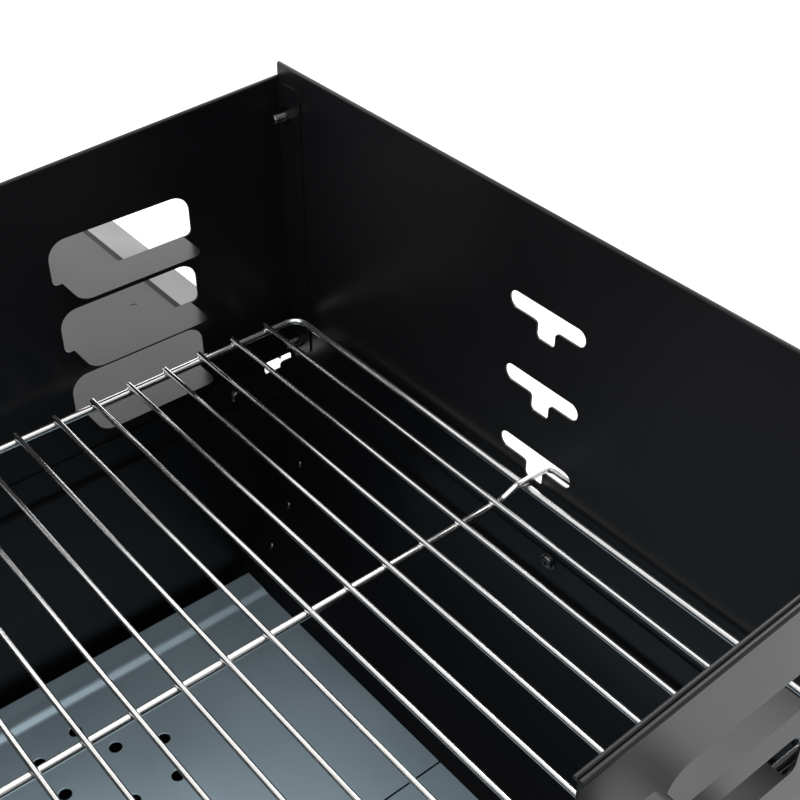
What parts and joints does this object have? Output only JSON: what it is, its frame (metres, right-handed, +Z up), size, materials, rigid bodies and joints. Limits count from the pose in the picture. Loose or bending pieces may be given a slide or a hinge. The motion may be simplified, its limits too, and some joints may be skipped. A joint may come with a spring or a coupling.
{
  "type": "rotisserie spit roaster",
  "caption": "Charcoal spit roaster cart: half-barrel bowl, slotted wind walls, hanging grate, trays, spit with forks, battery motor and side shelf.",
  "frame": {"origin": "on the ground under the middle of the whole footprint", "axes": "+X towards the motor and push handle, +Y to the rear, +Z up"},
  "size_m": [0.9375, 0.6136, 1.019],
  "materials": {
    "black_enamel": "satin heat-proof enamel",
    "black_tube": "satin powder coat",
    "zinc_sheet": "galvanised sheet",
    "chrome_wire": "chrome-plated wire",
    "steel": "drawn bright steel",
    "black_fastener": "black zinc plated",
    "zinc_fastener": "zinc plated",
    "black_plastic": "fine texture",
    "white_plastic": "moulded gear plastic",
    "battery_wrap": "plain sleeve",
    "tyre": "moulded rubber",
    "wood": "oiled hardwood"
  },
  "bodies": {
    "cart": {"bowl_shell": "black_enamel", "bowl_end_left": "black_enamel", "bowl_end_right": "black_enamel", "left_wall": "black_enamel", "right_wall": "black_enamel", "rear_wall": "black_enamel", "front_wall": "black_enamel", "side_shelf": "black_enamel", "leg_left_rear": "black_tube", "leg_left_front": "black_tube", "leg_frame_right": "black_tube", "handle_grip": "wood", "lower_shelf": "black_enamel", "axle": "steel", "axle_caps": "black_plastic", "foot_caps": "black_plastic", "tube_plugs": "black_plastic", "spit_rest_left": "black_enamel", "spit_rest_right": "black_enamel", "motor_bracket": "black_enamel", "motor_case": "black_plastic", "motor_cover": "black_plastic", "motor_can": "zinc_fastener", "batteries": "battery_wrap", "corner_bolts": "black_fastener", "corner_nuts": "black_fastener", "rim_screws": "black_fastener", "rim_nuts": "black_fastener", "bowl_rivets": "black_fastener", "shelf_screws": "black_fastener", "leg_screws": "black_fastener", "leg_standoffs": "black_tube", "lower_shelf_screws": "black_fastener", "rest_screws": "black_fastener", "rest_nuts": "black_fastener", "bracket_screws": "black_fastener", "bracket_nuts": "black_fastener", "case_screws": "black_fastener"},
    "grate": {"cooking_grate": "chrome_wire", "grate_grip": "wood"},
    "tray_left": {"charcoal_tray_left": "zinc_sheet"},
    "tray_right": {"charcoal_tray_right": "zinc_sheet"},
    "spit": {"spit_rod": "steel", "spit_handle": "wood", "spit_bushing_left": "steel", "spit_bushing_right": "steel"},
    "fork_left": {"fork_left": "steel"},
    "fork_right": {"fork_right": "steel"},
    "wing_left": {"wing_screw_left": "zinc_fastener"},
    "wing_right": {"wing_screw_right": "zinc_fastener"},
    "drive": {"drive_socket": "white_plastic"},
    "pinion": {"motor_pinion": "white_plastic"},
    "door": {"battery_door": "black_plastic"},
    "rocker": {"switch_rocker": "black_plastic"},
    "wheel_rear": {"wheel_hub_rear": "black_plastic", "wheel_tyre_rear": "tyre"},
    "wheel_front": {"wheel_hub_front": "black_plastic", "wheel_tyre_front": "tyre"}
  },
  "joints": [
    {"name": "grate_lift", "type": "slide", "parent": "cart", "child": "grate", "axis": [0, 0, 1], "range_m": [0, 0.017]},
    {"name": "tray_left_lift", "type": "slide", "parent": "cart", "child": "tray_left", "axis": [0, 0, 1], "range_m": [0, 0.15]},
    {"name": "tray_right_lift", "type": "slide", "parent": "cart", "child": "tray_right", "axis": [0, 0, 1], "range_m": [0, 0.15]},
    {"name": "spit_spin", "type": "hinge", "parent": "cart", "child": "spit", "pos_m": [0.086, -0.25405, 0.88], "axis": [1, 0, 0], "continuous": true},
    {"name": "fork_left_slide", "type": "slide", "parent": "spit", "child": "fork_left", "axis": [1, 0, 0], "range_m": [-0.085, 0.015]},
    {"name": "fork_right_slide", "type": "slide", "parent": "spit", "child": "fork_right", "axis": [1, 0, 0], "range_m": [-0.015, 0.085]},
    {"name": "wing_left_turn", "type": "hinge", "parent": "fork_left", "child": "wing_left", "pos_m": [-0.045, -0.25405, 0.88], "axis": [0, 0, 1], "continuous": true},
    {"name": "wing_right_turn", "type": "hinge", "parent": "fork_right", "child": "wing_right", "pos_m": [0.217, -0.25405, 0.88], "axis": [0, 0, 1], "continuous": true},
    {"name": "drive_spin", "type": "hinge", "parent": "cart", "child": "drive", "pos_m": [0.3537, 0.04765, 0.948], "axis": [1, 0, 0], "continuous": true},
    {"name": "pinion_spin", "type": "hinge", "parent": "cart", "child": "pinion", "pos_m": [0.3657, 0.03057, 0.96508], "axis": [1, 0, 0], "continuous": true},
    {"name": "battery_door_hinge", "type": "hinge", "parent": "cart", "child": "door", "pos_m": [0.4127, 0.04765, 0.9181], "axis": [0, 1, 0], "range_deg": [0, 100]},
    {"name": "switch_rock", "type": "hinge", "parent": "cart", "child": "rocker", "pos_m": [0.3757, 0.08465, 0.96], "axis": [1, 0, 0], "range_deg": [-8, 8]},
    {"name": "wheel_rear_roll", "type": "hinge", "parent": "cart", "child": "wheel_rear", "pos_m": [-0.182, 0.25015, 0.075], "axis": [0, 1, 0], "continuous": true},
    {"name": "wheel_front_roll", "type": "hinge", "parent": "cart", "child": "wheel_front", "pos_m": [-0.182, -0.15485, 0.075], "axis": [0, 1, 0], "continuous": true}
  ],
  "couplings": [
    {"joint": "pinion_spin", "follows": "drive_spin", "ratio": -4}
  ]
}
